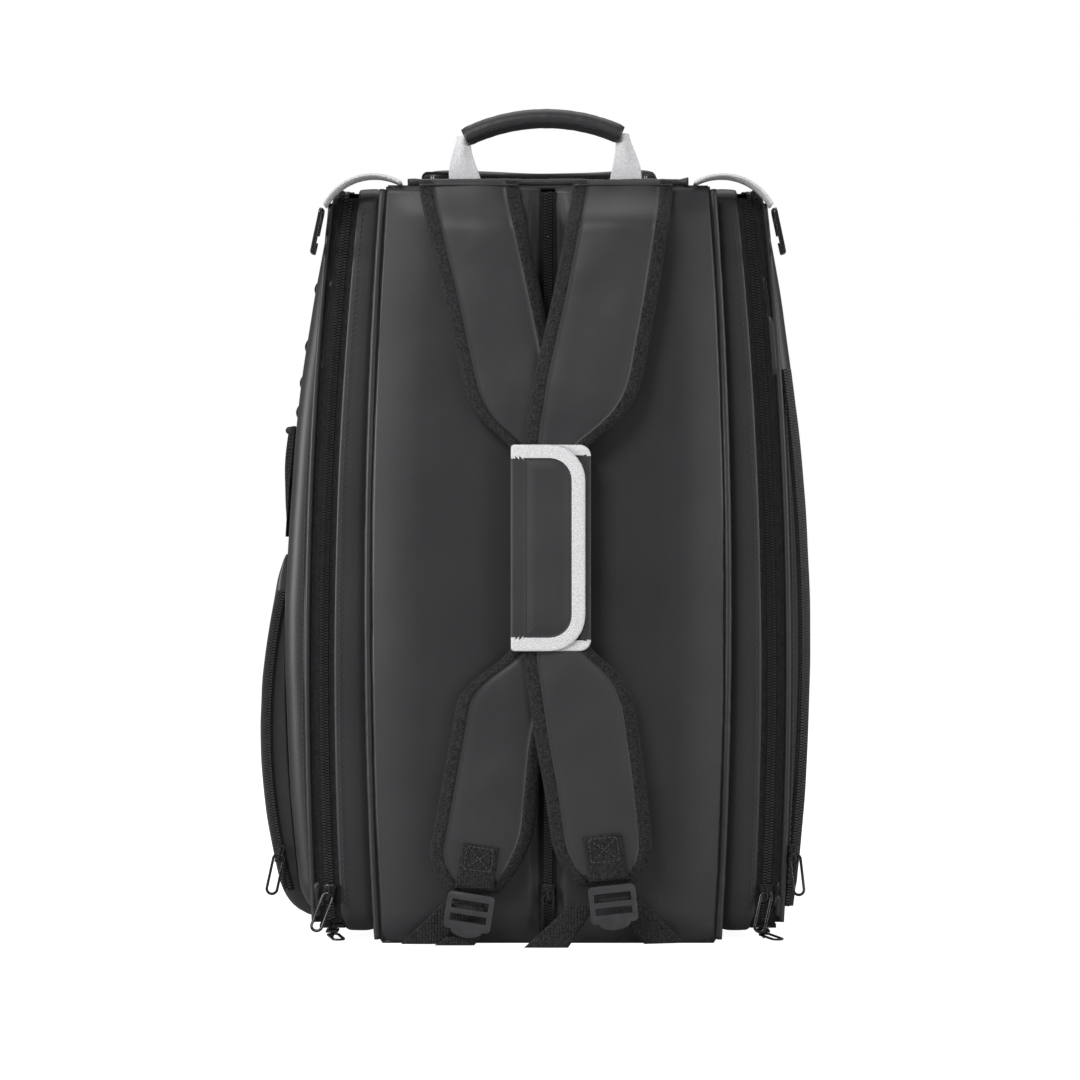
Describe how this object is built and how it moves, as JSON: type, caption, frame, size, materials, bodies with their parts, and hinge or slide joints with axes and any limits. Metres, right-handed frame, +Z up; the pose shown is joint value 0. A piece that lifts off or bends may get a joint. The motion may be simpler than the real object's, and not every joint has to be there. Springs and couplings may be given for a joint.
{
  "type": "racket tournament bag",
  "caption": "Upright racket bag with side racket compartments, long zips, padded shoulder straps in a wrap handle, and a webbing grab handle.",
  "frame": {"origin": "centre of the flat base on the surface it stands on", "axes": "+Z up, -Y towards the wearer (shoulder strap side), +X to the right seen from the strap side"},
  "size_m": [0.3995, 0.3374, 0.5988],
  "materials": {
    "black_coated_fabric": "matte coated fabric",
    "black_webbing": "ribbed webbing",
    "white_webbing": "white webbing",
    "zip_tape": "zip tape",
    "zip_metal": "gloss black",
    "black_plastic": "satin",
    "padded_strap": "padded coated fabric",
    "mesh": "open mesh",
    "lining_board": "matte"
  },
  "bodies": {
    "bag": {"right_divider": "black_coated_fabric", "left_divider": "black_coated_fabric", "far_panel": "black_coated_fabric", "top_panel": "black_coated_fabric", "base_panel": "black_coated_fabric", "base_board": "lining_board", "main_piping": "black_coated_fabric", "right_gusset": "black_coated_fabric", "left_gusset": "black_coated_fabric", "right_zip_inner": "zip_tape", "left_zip_inner": "zip_tape", "top_pocket_wall": "black_coated_fabric", "hook_straps": "white_webbing", "top_binding": "black_coated_fabric", "left_webbing": "black_webbing", "right_webbing": "black_webbing"},
    "left_door": {"left_outer_shell": "black_coated_fabric", "left_zip_outer": "zip_tape", "left_outer_piping": "black_coated_fabric", "mesh_pocket": "mesh", "side_loops": "black_webbing"},
    "main_left_flap": {"main_left_panel": "black_coated_fabric", "main_left_tape": "zip_tape"},
    "left_zip_slider": {"left_slider": "zip_metal"},
    "left_zip_pull": {"left_pull": "zip_metal"},
    "left_under_zip_slider": {"left_under_slider": "zip_metal"},
    "left_under_zip_pull": {"left_under_pull": "zip_metal"},
    "left_hook_body": {"left_hook": "zip_metal"},
    "left_lock_body": {"left_lock": "black_plastic"},
    "right_door": {"right_outer_shell": "black_coated_fabric", "right_zip_outer": "zip_tape", "right_outer_piping": "black_coated_fabric", "right_pocket_zip": "zip_tape"},
    "main_right_flap": {"main_right_panel": "black_coated_fabric", "main_right_tape": "zip_tape"},
    "right_zip_slider": {"right_slider": "zip_metal"},
    "right_zip_pull": {"right_pull": "zip_metal"},
    "right_under_zip_slider": {"right_under_slider": "zip_metal"},
    "right_under_zip_pull": {"right_under_pull": "zip_metal"},
    "right_hook_body": {"right_hook": "zip_metal"},
    "right_lock_body": {"right_lock": "black_plastic"},
    "side_pocket": {"side_pocket_shell": "black_coated_fabric", "side_pocket_zip": "zip_tape"},
    "side_pocket_zip_slider": {"side_pocket_slider": "zip_metal"},
    "side_pocket_zip_pull": {"side_pocket_pull": "zip_metal"},
    "right_pocket_zip_slider": {"right_pocket_slider": "zip_metal"},
    "right_pocket_zip_pull": {"right_pocket_pull": "zip_metal"},
    "main_zip_slider": {"main_slider": "zip_metal"},
    "main_zip_pull": {"main_pull": "zip_metal"},
    "top_pocket_cover": {"top_pocket_lid": "black_coated_fabric"},
    "top_pocket_zip_slider": {"top_pocket_slider": "zip_metal"},
    "top_pocket_zip_pull": {"top_pocket_pull": "zip_metal"},
    "grab_handle": {"handle_grip": "black_coated_fabric", "handle_webbing": "white_webbing"},
    "shoulder_straps": {"left_shoulder_strap": "padded_strap", "right_shoulder_strap": "padded_strap", "wrap_sleeve": "padded_strap", "strap_tabs": "black_webbing", "webbing_tails": "black_webbing"},
    "wrap_cover": {"wrap_flap": "padded_strap"}
  },
  "joints": [
    {"name": "left_compartment_opens", "type": "hinge", "parent": "bag", "child": "left_door", "pos_m": [-0.14247, 0.14, 0.27], "axis": [0, 0, -1], "range_deg": [0, 75]},
    {"name": "main_left_flap_opens", "type": "hinge", "parent": "bag", "child": "main_left_flap", "pos_m": [-0.11, -0.1485, 0.27], "axis": [0, 0, 1], "range_deg": [0, 80]},
    {"name": "left_zip_travel", "type": "hinge", "parent": "bag", "child": "left_zip_slider", "pos_m": [3.04421, -0.1324, 0.19603], "axis": [0, 1, 0], "range_deg": [0, 7.26]},
    {"name": "left_pull_swing", "type": "hinge", "parent": "left_zip_slider", "child": "left_zip_pull", "pos_m": [-0.15685, -0.1361, 0.034], "axis": [-1, 0, 0], "range_deg": [-18, 55]},
    {"name": "left_under_zip_travel", "type": "slide", "parent": "bag", "child": "left_under_zip_slider", "axis": [0, 1, 0], "range_m": [0, 0.22]},
    {"name": "left_under_pull_swing", "type": "hinge", "parent": "left_under_zip_slider", "child": "left_under_zip_pull", "pos_m": [-0.15549, -0.122, 0.0029], "axis": [-1, 0, 0], "range_deg": [0, 5]},
    {"name": "left_hook_swing", "type": "hinge", "parent": "bag", "child": "left_hook_body", "pos_m": [-0.161, -0.1452, 0.5236], "axis": [0, 1, 0], "range_deg": [-10, 50]},
    {"name": "left_lock_tilt", "type": "hinge", "parent": "shoulder_straps", "child": "left_lock_body", "pos_m": [-0.0534, -0.174, 0.039], "axis": [-1, 0, 0], "range_deg": [0, 30]},
    {"name": "right_compartment_opens", "type": "hinge", "parent": "bag", "child": "right_door", "pos_m": [0.14247, 0.14, 0.27], "axis": [0, 0, 1], "range_deg": [0, 75]},
    {"name": "main_right_flap_opens", "type": "hinge", "parent": "bag", "child": "main_right_flap", "pos_m": [0.11, -0.1485, 0.27], "axis": [0, 0, -1], "range_deg": [0, 80]},
    {"name": "right_zip_travel", "type": "hinge", "parent": "bag", "child": "right_zip_slider", "pos_m": [-3.04421, -0.1324, 0.19603], "axis": [0, -1, 0], "range_deg": [0, 7.26]},
    {"name": "right_pull_swing", "type": "hinge", "parent": "right_zip_slider", "child": "right_zip_pull", "pos_m": [0.15685, -0.1361, 0.034], "axis": [-1, 0, 0], "range_deg": [-18, 55]},
    {"name": "right_under_zip_travel", "type": "slide", "parent": "bag", "child": "right_under_zip_slider", "axis": [0, 1, 0], "range_m": [0, 0.22]},
    {"name": "right_under_pull_swing", "type": "hinge", "parent": "right_under_zip_slider", "child": "right_under_zip_pull", "pos_m": [0.15549, -0.122, 0.0029], "axis": [-1, 0, 0], "range_deg": [0, 5]},
    {"name": "right_hook_swing", "type": "hinge", "parent": "bag", "child": "right_hook_body", "pos_m": [0.161, -0.1452, 0.5236], "axis": [0, -1, 0], "range_deg": [-10, 50]},
    {"name": "right_lock_tilt", "type": "hinge", "parent": "shoulder_straps", "child": "right_lock_body", "pos_m": [0.044, -0.1834, 0.046], "axis": [-1, 0, 0], "range_deg": [0, 30]},
    {"name": "side_pocket_opens", "type": "hinge", "parent": "left_door", "child": "side_pocket", "pos_m": [-0.19098, 0.096, 0.15], "axis": [0, 0, -1], "range_deg": [0, 40]},
    {"name": "side_pocket_zip_travel", "type": "hinge", "parent": "side_pocket", "child": "side_pocket_zip_slider", "pos_m": [0.24548, -0.1144, 0.15107], "axis": [0, 1, 0], "range_deg": [0, 18.6]},
    {"name": "side_pocket_pull_swing", "type": "hinge", "parent": "side_pocket_zip_slider", "child": "side_pocket_zip_pull", "pos_m": [-0.1942, -0.1181, 0.06], "axis": [-1, 0, 0], "range_deg": [-6, 60]},
    {"name": "right_pocket_zip_travel", "type": "hinge", "parent": "right_door", "child": "right_pocket_zip_slider", "pos_m": [-1.28653, -0.1324, 0.2111], "axis": [0, -1, 0], "range_deg": [0, 12.8]},
    {"name": "right_pocket_pull_swing", "type": "hinge", "parent": "right_pocket_zip_slider", "child": "right_pocket_zip_pull", "pos_m": [0.17691, -0.1361, 0.062], "axis": [-1, 0, 0], "range_deg": [-6, 60]},
    {"name": "main_zip_travel", "type": "slide", "parent": "bag", "child": "main_zip_slider", "axis": [0, 0, 1], "range_m": [0, 0.48]},
    {"name": "main_pull_swing", "type": "hinge", "parent": "main_zip_slider", "child": "main_zip_pull", "pos_m": [0, -0.1553, 0.036], "axis": [-1, 0, 0], "range_deg": [0, 7]},
    {"name": "top_pocket_opens", "type": "hinge", "parent": "bag", "child": "top_pocket_cover", "pos_m": [0, 0.11, 0.5532], "axis": [-1, 0, 0], "range_deg": [0, 75]},
    {"name": "top_pocket_zip_travel", "type": "slide", "parent": "bag", "child": "top_pocket_zip_slider", "axis": [1, 0, 0], "range_m": [0, 0.12]},
    {"name": "top_pocket_pull_swing", "type": "hinge", "parent": "top_pocket_zip_slider", "child": "top_pocket_zip_pull", "pos_m": [-0.063, -0.0841, 0.5532], "axis": [0, 0, 1], "range_deg": [-6, 60]},
    {"name": "grab_handle_folds", "type": "hinge", "parent": "bag", "child": "grab_handle", "pos_m": [0, -0.12, 0.5422], "axis": [1, 0, 0], "range_deg": [-35, 60], "stiffness_Nm_per_rad": 0.06},
    {"name": "shoulder_straps_lift", "type": "hinge", "parent": "bag", "child": "shoulder_straps", "pos_m": [0, -0.1565, 0.537], "axis": [-1, 0, 0], "range_deg": [0, 12], "deforming": ["left_webbing", "right_webbing"]},
    {"name": "wrap_flap_opens", "type": "hinge", "parent": "shoulder_straps", "child": "wrap_cover", "pos_m": [-0.026, -0.1838, 0.28175], "axis": [0, 0, -1], "range_deg": [0, 110]}
  ]
}
